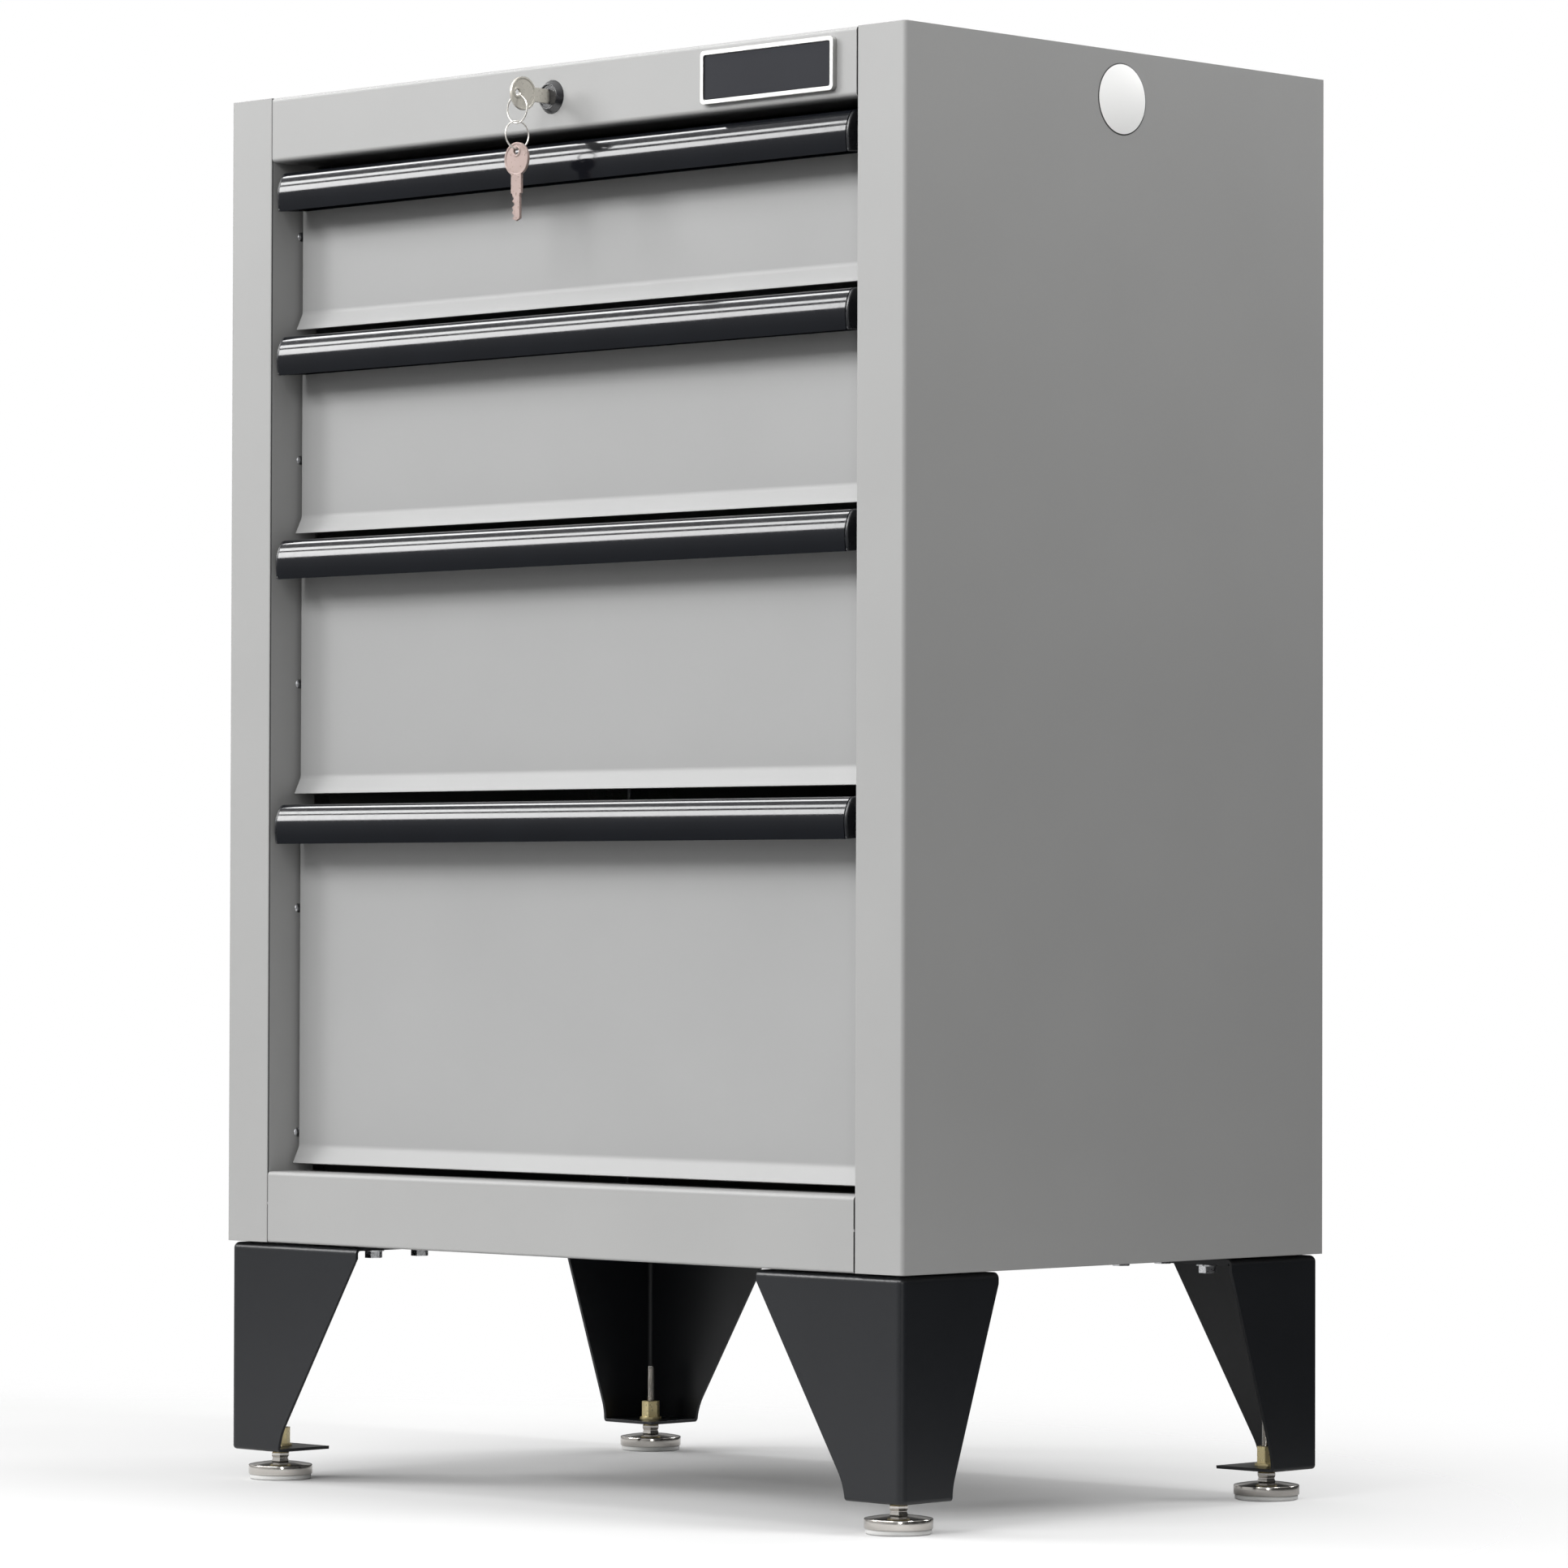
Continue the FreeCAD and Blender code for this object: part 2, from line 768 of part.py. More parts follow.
def lock_guides():
    """Two moulded guides on the back panel, and the rod's bearing under the top."""
    made = []
    half = bar_width / 2 + bar_clear
    for level in guide_heights:
        block = box(-half - guide_wall, half + guide_wall, bar_front - bar_clear - guide_wall,
                    back_inner, level, level + guide_height)
        window = box(-half, half, bar_front - bar_clear, bar_rear + bar_clear,
                     level - past, level + guide_height + past)
        made.append(block.cut(window))
    rear_face = crank_front - bearing_gap
    side = bearing_width / 2
    plate = box(-side, side, rear_face - bearing_thickness, rear_face, lock_z - bearing_drop,
                body_height - body_sheet)
    start = Vector(0, rear_face - bearing_thickness - past, lock_z)
    bore = cylinder(rod_diameter + 2 * plug_fit, start, bearing_thickness + 2 * past, Y)
    made.append(plate.cut(bore))
    return made


# Keys

def key_flat():
    """A key lying in the XY plane, bow end at the origin and tip along +X."""
    radius = key_bow / 2
    bow = cylinder(key_bow, Vector(radius, 0, -key_thickness / 2), key_thickness, Z)
    shaft = box(radius, key_shoulder, -key_shaft / 2, key_shaft / 2, -key_thickness / 2,
                key_thickness / 2)
    half = key_blade / 2
    corners = [Vector(key_shoulder - past, -half, 0), Vector(key_length - key_tip, -half, 0),
               Vector(key_length, 0, 0), Vector(key_length - key_tip, half, 0)]
    here = key_shoulder + key_cut_first
    cuts = []
    for depth in key_cuts:
        flat = key_cut_floor / 2
        reach = flat + depth * key_cut_slope
        cuts.append(Vector(here - reach, half, 0))
        cuts.append(Vector(here - flat, half - depth, 0))
        cuts.append(Vector(here + flat, half - depth, 0))
        cuts.append(Vector(here + reach, half, 0))
        here += key_cut_pitch
    corners += list(reversed(cuts))
    corners.append(Vector(key_shoulder - past, half, 0))
    corners.append(corners[0])
    blade = Part.Face(Part.makePolygon(corners)).extrude(Z * key_thickness)
    blade.translate(Vector(0, 0, -key_thickness / 2))
    key = bow.fuse([shaft, blade]).removeSplitter()
    hole = cylinder(key_hole, Vector(key_hole_from_end, 0, -key_thickness), 2 * key_thickness, Z)
    key = key.cut(hole)
    # Each face of the bow is sunk a little inside its rim, but not round the hole.
    for side in (-1, 1):
        level = side * (key_thickness / 2 - key_relief)
        start = Vector(radius, 0, min(level, level + side * key_thickness))
        sunk = cylinder(key_bow - 2 * key_rim, start, key_thickness, Z)
        boss = cylinder(key_hole + 2 * key_rim, Vector(key_hole_from_end, 0, start.z),
                        key_thickness, Z)
        key = key.cut(sunk.cut(boss))
    return key


def key_in_lock():
    """The key's plane is upright and front to back, with its tip inside the plug."""
    key = key_flat()
    key.rotate(Vector(0, 0, 0), X, 90)
    key.rotate(Vector(0, 0, 0), Z, 90)
    key.translate(Vector(0, key_end, lock_z))
    return key


def spare_key():
    """The spare key hangs tip down, flat to the front, with its cuts to the left."""
    key = key_flat()
    key.rotate(Vector(0, 0, 0), X, -90)
    key.rotate(Vector(0, 0, 0), Y, 90)
    key.translate(Vector(0, hang_y, spare_end_z))
    return key


def key_ring(centre_z, turn):
    wire = Part.makeTorus(ring_mid, ring_wire / 2, Vector(0, 0, 0), Y)
    wire.rotate(Vector(0, 0, 0), Z, turn)
    wire.translate(Vector(0, hang_y, centre_z))
    return wire


# Nameplate

def nameplate():
    left = plate_centre_x - plate_width / 2
    right = plate_centre_x + plate_width / 2
    low = lock_z - plate_height / 2
    high = lock_z + plate_height / 2
    plate = box(left, right, front - plate_thickness, front, low, high)
    plate = rounded(plate, plate_corner, is_along_y)
    b = plate_border
    field = box(left + b, right - b, front - plate_thickness - past,
                front - plate_thickness + plate_recess, low + b, high - b)
    field = rounded(field, field_corner, is_along_y)
    return plate.cut(field)


def nameplate_insert():
    b = plate_border + insert_gap
    left = plate_centre_x - plate_width / 2 + b
    right = plate_centre_x + plate_width / 2 - b
    floor = front - plate_thickness + plate_recess
    insert = box(left, right, floor - insert_thickness, floor, lock_z - plate_height / 2 + b,
                 lock_z + plate_height / 2 - b)
    return rounded(insert, field_corner - insert_gap, is_along_y)


def is_along_y(edge):
    ends = [vertex.Point for vertex in edge.Vertexes]
    if len(ends) != 2:
        return False
    along = ends[1] - ends[0]
    return abs(along.x) < tiny and abs(along.z) < tiny


# Legs and feet. A leg is laid out from its outer corner: a along X, b along Y.

def slanted_edge(top_width, foot_width):
    """Outline that trims a leg wall: straight slant, then a curve to an upright end."""
    start = leg_flange_top - leg_slope_start
    knee = leg_bottom + leg_straight
    far = top_width + trim_reach
    slope = Vector(foot_width - top_width, knee - start, 0).normalize()
    turn = math.acos(-slope.y)
    reach = leg_edge_radius * math.tan(turn / 2)
    corner = Vector(foot_width, knee, 0)
    bend_start = corner - slope * reach
    bend_end = corner - Vector(0, reach, 0)
    centre = bend_end + Vector(leg_edge_radius, 0, 0)
    middle = centre + (corner - centre).normalize() * leg_edge_radius
    low = leg_bottom - past
    return [(Vector(far, start, 0), Vector(top_width, start, 0)),
            (Vector(top_width, start, 0), bend_start),
            (bend_start, middle, bend_end),
            (bend_end, Vector(foot_width, low, 0)),
            (Vector(foot_width, low, 0), Vector(far, low, 0)),
            (Vector(far, low, 0), Vector(far, start, 0))]


def corner_block(inset, reach, top, bottom, corner, top_bend, foot_bend):
    """A block at the leg's outer corner, rounded as the sheet is bent there."""
    block = box(inset, leg_top_x + reach, inset, leg_top_y + reach, bottom, top)
    block = rounded(block, corner, lambda e: edge_at(e, x=inset, y=inset))
    block = rounded(block, top_bend, lambda e: is_outer_edge(e, inset, top))
    return rounded(block, foot_bend, lambda e: is_outer_edge(e, inset, bottom))


def is_outer_edge(edge, inset, level):
    bounds = edge.BoundBox
    if abs(bounds.ZMin - level) > tiny or abs(bounds.ZMax - level) > tiny:
        return False
    reach = inset + leg_corner + tiny
    return bounds.XMax < reach or bounds.YMax < reach


def leg_solid():
    """Leg for the corner at low X and low Y, before it is mirrored to the others."""
    t = leg_sheet
    outer = corner_block(0, 0, leg_flange_top, leg_bottom, leg_corner, leg_top_bend, leg_foot_bend)
    inner = corner_block(t, trim_reach, leg_flange_top - t, leg_bottom + t, leg_corner - t,
                         leg_top_bend - t, leg_foot_bend - t)
    shell = outer.cut(inner)
    edge = t + leg_doubler_gap
    doubler_under = leg_flange_top - 2 * t
    doubler = box(edge, leg_doubler_x, edge, leg_top_y, doubler_under, leg_flange_top - t)
    shell = shell.fuse(doubler)
    across = face_inside(slanted_edge(leg_top_x, leg_foot_x), lambda u, v: Vector(u, -past, v))
    along = face_inside(slanted_edge(leg_top_y, leg_foot_y), lambda u, v: Vector(-past, u, v))
    shell = shell.cut(across.extrude(Y * (leg_top_y + trim_reach)))
    shell = shell.cut(along.extrude(X * (leg_top_x + trim_reach)))
    for a, b in single_bolts + [double_bolt]:
        pad = cylinder(leg_pad_diameter, Vector(a, b, leg_flange_top - t / 2), leg_pad_height + t / 2, Z)
        shell = shell.fuse(pad)
        hole = cylinder(bolt_diameter + 2 * bolt_hole_fit, Vector(a, b, doubler_under - past),
                        past - doubler_under + past, Z)
        shell = shell.cut(hole)
    socket = cylinder(insert_neck, Vector(foot_x, foot_y, leg_bottom - past), t + 2 * past, Z)
    shell = shell.cut(socket).removeSplitter()
    shell.translate(Vector(-half_width + leg_inset, front + leg_inset, 0))
    return shell


def at_corner(shape, sx, sy):
    """Mirror a shape made for the corner at low X and low Y."""
    if sx > 0:
        shape = mirrored_x(shape)
    if sy > 0:
        shape = mirrored_y(shape)
    return shape


def leg_bolt(sx, sy, a, b, stack):
    """Flanged hexagon bolt, head down, through the leg and the body's floor."""
    centre = bolt_centre(sx, sy, a, b)
    seat = leg_flange_top - stack
    flange = cylinder(bolt_flange, centre + Z * seat, bolt_flange_thickness, -Z)
    head = hexagon(bolt_hex, centre + Z * (seat - bolt_flange_thickness), bolt_hex_height, -Z)
    length = -seat + body_sheet + nut_height + bolt_tail
    shank = cylinder(bolt_diameter, centre + Z * seat, length, Z)
    return flange.fuse([head, shank]).removeSplitter()


def leg_nut(sx, sy, a, b):
    start = bolt_centre(sx, sy, a, b) + Z * body_sheet
    nut = hexagon(bolt_hex, start, nut_height, Z)
    return nut.cut(cylinder(bolt_diameter + 2 * thread_fit, start, nut_height, Z))


def foot_centre(z):
    return Vector(-half_width + leg_inset + foot_x, front + leg_inset + foot_y, z)


def foot_insert():
    """Threaded insert pressed into the leg's foot plate, with its hexagon above."""
    low = leg_bottom - insert_collar
    collar = cylinder(insert_flange, foot_centre(low), insert_collar, Z)
    neck = cylinder(insert_neck, foot_centre(leg_bottom), leg_sheet, Z)
    flange = cylinder(insert_flange, foot_centre(plate_top), insert_collar, Z)
    body = hexagon(insert_hex, foot_centre(plate_top), insert_height, Z)
    bore = cylinder(stud_diameter + 2 * stud_fit, foot_centre(low - past),
                    insert_collar + leg_sheet + insert_height + 2 * past, Z)
    return collar.fuse([neck, flange, body]).cut(bore).removeSplitter()


def foot_metal():
    """Cap with its domed top, hexagon shank and stud, in one piece."""
    floor = -stand_height
    cap_low = floor + pad_height
    side = cylinder(cap_diameter, foot_centre(cap_low), cap_side - cap_bevel, Z)
    bevel = cone(cap_diameter, cap_diameter - 2 * cap_bevel,
                 foot_centre(cap_low + cap_side - cap_bevel), cap_bevel, Z)
    dome_base = cap_low + cap_side
    half = cap_diameter / 2 - cap_bevel
    sphere_radius = (half ** 2 + cap_dome ** 2) / (2 * cap_dome)
    ball = Part.makeSphere(sphere_radius, foot_centre(dome_base + cap_dome - sphere_radius))
    dome = ball.common(cylinder(2 * half, foot_centre(dome_base), cap_dome + past, Z))
    shank_top = leg_bottom - insert_collar - foot_gap
    shank = hexagon(shank_across, foot_centre(dome_base), shank_top - dome_base, Z)
    stud = cylinder(stud_diameter, foot_centre(shank_top), plate_top + stud_above_plate - shank_top, Z)
    return side.fuse([bevel, dome, shank, stud]).removeSplitter()


def foot_pad():
    pad = cylinder(pad_diameter, foot_centre(-stand_height), pad_height, Z)
    return rounded(pad, pad_round, lambda e: edge_at(e, z=-stand_height) and len(e.Vertexes) == 1)


def main():
    os.makedirs("parts", exist_ok=True)

    side = left_side()
    save("left_side", side)
    save("right_side", mirrored_x(side))
    save("top_panel", top_panel())
    save("bottom_panel", bottom_panel())
    save("back_panel", back_panel())
    posts = left_posts()
    save("left_slide_posts", *posts)
    save("right_slide_posts", *[mirrored_x(post) for post in posts])
    save("rivets", *rivets())

    outer, middle, inner = slide_sections()
    slide_rear = slide_front + slide_length
    outers = {-1: [], 1: []}
    for number, (top, bottom) in enumerate(zip(handle_tops, flare_bottoms), start=1):
        name = "drawer_" + str(number)
        save(name + "_front", drawer_front(top, bottom))
        save(name + "_box", drawer_box(top, bottom))
        save(name + "_handle", handle(top))
        save(name + "_handle_caps", *handle_caps(top))
        level = slide_level(bottom)
        for sign in (-1, 1):
            outers[sign].append(slide_part(outer, slide_front, slide_rear, level, sign))
        for label, section in (("_slide_middle", middle), ("_slide_inner", inner)):
            pair = [slide_part(section, slide_front, slide_rear, level, sign) for sign in (-1, 1)]
            save(name + label, *pair)
    save("left_slide_outers", *outers[-1])
    save("right_slide_outers", *outers[1])

    save("lock_barrel", lock_barrel())
    save("lock_nut", lock_nut())
    save("lock_plug", lock_plug())
    save("lock_rod", lock_rod())
    save("lock_crank", lock_crank())
    save("lock_bar", lock_bar())
    save("lock_guides", *lock_guides())
    save("key", key_in_lock())
    save("key_ring_upper", key_ring(upper_ring_z, 0))
    save("key_ring_lower", key_ring(lower_ring_z, lower_ring_turn))
    save("spare_key", spare_key())
    save("nameplate", nameplate())
    save("nameplate_insert", nameplate_insert())

    leg = leg_solid()
    metal = foot_metal()
    pad = foot_pad()
    insert = foot_insert()
    corners = {"front_left": (-1, -1), "front_right": (1, -1), "rear_left": (-1, 1),
               "rear_right": (1, 1)}
    for name, (sx, sy) in corners.items():
        save("leg_" + name, at_corner(leg, sx, sy))
        save("foot_" + name, at_corner(metal, sx, sy), at_corner(pad, sx, sy))
    save("foot_inserts", *[at_corner(insert, sx, sy) for sx, sy in corners.values()])
    places = leg_bolt_places()
    save("leg_bolts", *[leg_bolt(*place) for place in places])
    save("leg_nuts", *[leg_nut(*place[:4]) for place in places])


main()
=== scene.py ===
# Looks of the tool cabinet: materials, small fittings, studio and camera.
# Lengths are in metres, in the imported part's own frame.

import bmesh
import bpy
import math
from mathutils import Matrix, Vector


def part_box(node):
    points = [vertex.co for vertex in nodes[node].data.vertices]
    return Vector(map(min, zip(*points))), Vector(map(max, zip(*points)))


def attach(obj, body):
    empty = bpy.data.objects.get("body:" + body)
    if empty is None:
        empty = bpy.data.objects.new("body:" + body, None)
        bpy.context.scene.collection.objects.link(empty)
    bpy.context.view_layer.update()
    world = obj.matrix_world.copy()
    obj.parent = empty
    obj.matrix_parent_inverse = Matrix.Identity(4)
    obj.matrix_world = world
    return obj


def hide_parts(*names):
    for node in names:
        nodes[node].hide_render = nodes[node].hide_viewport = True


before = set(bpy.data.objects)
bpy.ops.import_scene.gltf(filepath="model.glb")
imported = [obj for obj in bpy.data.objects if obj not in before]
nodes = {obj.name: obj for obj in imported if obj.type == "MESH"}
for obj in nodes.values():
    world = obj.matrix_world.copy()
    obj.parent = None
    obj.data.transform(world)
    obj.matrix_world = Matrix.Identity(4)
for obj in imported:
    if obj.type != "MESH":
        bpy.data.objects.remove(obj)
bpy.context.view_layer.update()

FEET = ["front_left", "front_right", "rear_left", "rear_right"]
DRAWERS = [1, 2, 3, 4]

# Colours, linear
BODY = (0.270, 0.270, 0.267)
DRAWER = (0.263, 0.264, 0.263)
LEG = (0.0070, 0.0078, 0.0095)
HANDLE = (0.0035, 0.0042, 0.0060)
ZINC = (0.62, 0.63, 0.65)
NICKEL = (0.46, 0.44, 0.39)
RING = (0.66, 0.64, 0.60)
WARM_NICKEL = (0.29, 0.22, 0.20)
BOLT = (0.85, 0.86, 0.88)
CHROME = (0.60, 0.575, 0.54)
YELLOW = (0.83, 0.71, 0.39)
LOCK = (0.008, 0.008, 0.010)
PLATE_SILVER = (0.46, 0.46, 0.45)
PLATE_FIELD = (0.018, 0.019, 0.023)
GUIDE = (0.50, 0.49, 0.46)
PAD = (0.50, 0.50, 0.49)
DISC_WHITE = (0.88, 0.88, 0.87, 1)
DISC_RIM = (0.05, 0.05, 0.05, 1)
# Painted shade for the open seam between the side's flange and the rails
SEAM_SHADE_COLOUR = (0.03, 0.03, 0.03, 1)
FLOOR_LOW = (0.51, 0.51, 0.51)
FLOOR_HIGH = (0.53, 0.53, 0.53)
WHITE = (1, 1, 1, 1)

# The part of a noise's range that is used
NOISE_LOW = 0.3
NOISE_HIGH = 0.7

# The seam between the body's flanges, where a dark line of painted shade goes
SEAM_X = 0.265
SEAM_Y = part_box("right_side")[0].y + 0.0012
SEAM_HALF_WIDTH = 0.0005
WELD_Z = 0.1827
WELD_HALF_HEIGHT = 0.0008


# Materials

def material(name):
    made = bpy.data.materials.new(name)
    made.use_nodes = True
    return made


def link(tree, source, target):
    tree.links.new(source, target)


def add(tree, kind, **inputs):
    node = tree.nodes.new(kind)
    for key, value in inputs.items():
        node.inputs[key.replace("_", " ")].default_value = value
    return node


def noise(tree, scale, detail=2.0, stretch=(1, 1, 1)):
    """Noise in the object's own space, in waves per metre."""
    place = tree.nodes.new("ShaderNodeTexCoord")
    mapping = tree.nodes.new("ShaderNodeMapping")
    mapping.inputs["Scale"].default_value = stretch
    texture = add(tree, "ShaderNodeTexNoise", Scale=scale, Detail=detail)
    link(tree, place.outputs["Object"], mapping.inputs["Vector"])
    link(tree, mapping.outputs["Vector"], texture.inputs["Vector"])
    return texture.outputs["Fac"]


def ranged(tree, value, low, high):
    """A number that runs between two as the noise does."""
    span = tree.nodes.new("ShaderNodeMapRange")
    span.inputs["From Min"].default_value = NOISE_LOW
    span.inputs["From Max"].default_value = NOISE_HIGH
    span.inputs["To Min"].default_value = low
    span.inputs["To Max"].default_value = high
    link(tree, value, span.inputs["Value"])
    return span.outputs["Result"]


def tinted(tree, value, low, high):
    """A colour that runs between two as the noise does."""
    ramp = tree.nodes.new("ShaderNodeValToRGB")
    ramp.color_ramp.elements[0].position = NOISE_LOW
    ramp.color_ramp.elements[0].color = (*low, 1)
    ramp.color_ramp.elements[1].position = NOISE_HIGH
    ramp.color_ramp.elements[1].color = (*high, 1)
    link(tree, value, ramp.inputs["Fac"])
    return ramp.outputs["Color"]


def scaled(colour, factor):
    return tuple(channel * factor for channel in colour)


def bumped(tree, height, depth, strength, edge=0.0):
    """Fine relief of the given depth, with the piece's edges softened by a radius."""
    bump = tree.nodes.new("ShaderNodeBump")
    bump.inputs["Strength"].default_value = strength
    bump.inputs["Distance"].default_value = depth
    link(tree, height, bump.inputs["Height"])
    if edge:
        bevel = tree.nodes.new("ShaderNodeBevel")
        bevel.samples = 4
        bevel.inputs["Radius"].default_value = edge
        link(tree, bevel.outputs["Normal"], bump.inputs["Normal"])
    return bump.outputs["Normal"]


def powder_coat(name, colour, roughness, grain=900.0, depth=0.00006, specular=0.5, spread=0.02):
    """Fine orange-peel paint with faint broad mottling."""
    made = material(name)
    tree = made.node_tree
    shader = tree.nodes["Principled BSDF"]
    cloud = noise(tree, 9.0, 3.0)
    link(tree, tinted(tree, cloud, scaled(colour, 1 - spread), scaled(colour, 1 + spread)),
         shader.inputs["Base Color"])
    fine = noise(tree, grain, 2.0)
    link(tree, ranged(tree, fine, roughness - 0.04, roughness + 0.04), shader.inputs["Roughness"])
    shader.inputs["Specular IOR Level"].default_value = specular
    link(tree, bumped(tree, fine, depth, 0.35, edge=0.0006), shader.inputs["Normal"])
    return made


def plated(name, colour, roughness, metallic=1.0, spread=0.06, grain=500.0, stretch=(1, 1, 1),
           edge=0.0003):
    """Plated metal with faint brushing, cloudy tone and softened edges."""
    made = material(name)
    tree = made.node_tree
    shader = tree.nodes["Principled BSDF"]
    shader.inputs["Metallic"].default_value = metallic
    cloud = noise(tree, 60.0, 3.0)
    link(tree, tinted(tree, cloud, scaled(colour, 1 - spread), scaled(colour, 1 + spread)),
         shader.inputs["Base Color"])
    fine = noise(tree, grain, 3.0, stretch)
    link(tree, ranged(tree, fine, roughness * 0.75, roughness * 1.3), shader.inputs["Roughness"])
    link(tree, bumped(tree, fine, 0.00002, 0.4, edge=edge), shader.inputs["Normal"])
    return made


def reckoned(tree, operation, first, second=0.0):
    """One step of arithmetic in the tree."""
    node = tree.nodes.new("ShaderNodeMath")
    node.operation = operation
    for socket, given in zip(node.inputs, (first, second)):
        if isinstance(given, float):
            socket.default_value = given
        else:
            link(tree, given, socket)
    return node.outputs["Value"]


def object_place(tree):
    """The three coordinates in the object's own space, which is the part's."""
    place = tree.nodes.new("ShaderNodeTexCoord")
    split = tree.nodes.new("ShaderNodeSeparateXYZ")
    link(tree, place.outputs["Object"], split.inputs["Vector"])
    return split.outputs["X"], split.outputs["Y"], split.outputs["Z"]


def with_painted_seam_shade(made):
    """Painted shade: a dark line where the side's flange meets the rails, in place of the shade in the
    open seam, left out at a spot of weld.
    """
    tree = made.node_tree
    x, y, z = object_place(tree)
    sideways = reckoned(tree, "ABSOLUTE", x)
    off = reckoned(tree, "ABSOLUTE", reckoned(tree, "SUBTRACT", sideways, SEAM_X))
    near = reckoned(tree, "LESS_THAN", off, SEAM_HALF_WIDTH)
    in_front = reckoned(tree, "LESS_THAN", y, SEAM_Y)
    from_weld = reckoned(tree, "ABSOLUTE", reckoned(tree, "SUBTRACT", z, WELD_Z))
    open_here = reckoned(tree, "GREATER_THAN", from_weld, WELD_HALF_HEIGHT)
    # The mask of the painted seam shade
    line = reckoned(tree, "MULTIPLY", near, reckoned(tree, "MULTIPLY", in_front, open_here))
    shader = tree.nodes["Principled BSDF"]
    mix = tree.nodes.new("ShaderNodeMix")
    mix.data_type = "RGBA"
    mix.inputs["B"].default_value = SEAM_SHADE_COLOUR
    link(tree, line, mix.inputs["Factor"])
    link(tree, shader.inputs["Base Color"].links[0].from_socket, mix.inputs["A"])
    link(tree, mix.outputs["Result"], shader.inputs["Base Color"])
    return made


def gloss(name, colour, roughness, specular=0.5, wave=22.0, depth=0.00003, edge=0.0004):
    """Smooth coating with the slight waviness of an extruded or moulded surface."""
    made = material(name)
    tree = made.node_tree
    shader = tree.nodes["Principled BSDF"]
    cloud = noise(tree, 30.0, 3.0)
    link(tree, tinted(tree, cloud, scaled(colour, 0.9), scaled(colour, 1.1)),
         shader.inputs["Base Color"])
    shader.inputs["Specular IOR Level"].default_value = specular
    dust = noise(tree, 240.0, 3.0)
    link(tree, ranged(tree, dust, roughness * 0.8, roughness * 1.3), shader.inputs["Roughness"])
    broad = noise(tree, wave, 1.0, (0.3, 1, 1))
    link(tree, bumped(tree, broad, depth, 0.3, edge=edge), shader.inputs["Normal"])
    return made


# The body's paint carries the painted shade line along its seams
body_paint = with_painted_seam_shade(powder_coat("body_powder_coat", BODY, 0.52))
drawer_paint = powder_coat("drawer_powder_coat", DRAWER, 0.50)
leg_paint = powder_coat("leg_powder_coat", LEG, 0.33, specular=0.38, spread=0.1)
handle_black = gloss("handle_gloss_black", HANDLE, 0.10, specular=0.3)
cap_black = gloss("handle_cap_black", HANDLE, 0.30)
lock_black = gloss("lock_black", LOCK, 0.24, specular=1.0)
zinc = plated("zinc_plate", ZINC, 0.34)
slide_zinc = plated("slide_zinc", ZINC, 0.36, stretch=(1, 0.05, 1))
nickel = plated("nickel_plate", NICKEL, 0.32, metallic=0.3, edge=0.0006)
ring_nickel = plated("ring_nickel", RING, 0.30, metallic=0.6)
spare_nickel = plated("spare_key_nickel", WARM_NICKEL, 0.32, metallic=0.3, edge=0.0006)
bolt_zinc = plated("bolt_zinc", BOLT, 0.30, edge=0.0006)
chrome = plated("foot_chrome", CHROME, 0.16, grain=300.0)
yellow = plated("yellow_zinc", YELLOW, 0.32, metallic=0.5, edge=0.0006)
plate_silver = plated("plate_satin_silver", PLATE_SILVER, 0.4)
plate_field = powder_coat("plate_field", PLATE_FIELD, 0.6, grain=1500.0, specular=0.12, spread=0.08)
guide_plastic = gloss("guide_plastic", GUIDE, 0.42)
pad_plastic = gloss("pad_plastic", PAD, 0.45)

looks = {
    "left_side": body_paint, "right_side": body_paint, "top_panel": body_paint,
    "bottom_panel": body_paint, "back_panel": body_paint,
    "left_slide_posts": zinc, "right_slide_posts": zinc, "rivets": zinc,
    "left_slide_outers": slide_zinc, "right_slide_outers": slide_zinc,
    "lock_barrel": lock_black, "lock_nut": zinc, "lock_plug": lock_black, "lock_rod": zinc,
    "lock_crank": zinc, "lock_bar": zinc, "lock_guides": guide_plastic,
    "key": nickel, "key_ring_upper": ring_nickel, "key_ring_lower": ring_nickel,
    "spare_key": spare_nickel,
    "nameplate": plate_silver, "nameplate_insert": plate_field,
    "foot_inserts": yellow, "leg_bolts": bolt_zinc, "leg_nuts": zinc,
}
for corner in FEET:
    looks["leg_" + corner] = leg_paint
    looks["foot_" + corner] = chrome
for number in DRAWERS:
    drawer = "drawer_" + str(number)
    looks[drawer + "_front"] = drawer_paint
    looks[drawer + "_box"] = drawer_paint
    looks[drawer + "_handle"] = handle_black
    looks[drawer + "_handle_caps"] = handle_black
    looks[drawer + "_slide_middle"] = slide_zinc
    looks[drawer + "_slide_inner"] = slide_zinc
for name, look in looks.items():
    for slot in nodes[name].material_slots:
        slot.material = look


# Pieces, in metres

CREASE = math.radians(35)
ROUND_SIDES = 64

DISC_RADIUS = 0.0225
DISC_THICKNESS = 0.0002
DISC_FACE_SHARE = 0.963
DISC_Y = 0.0197
DISC_Z = 0.8799
DISC_SIDES = 96

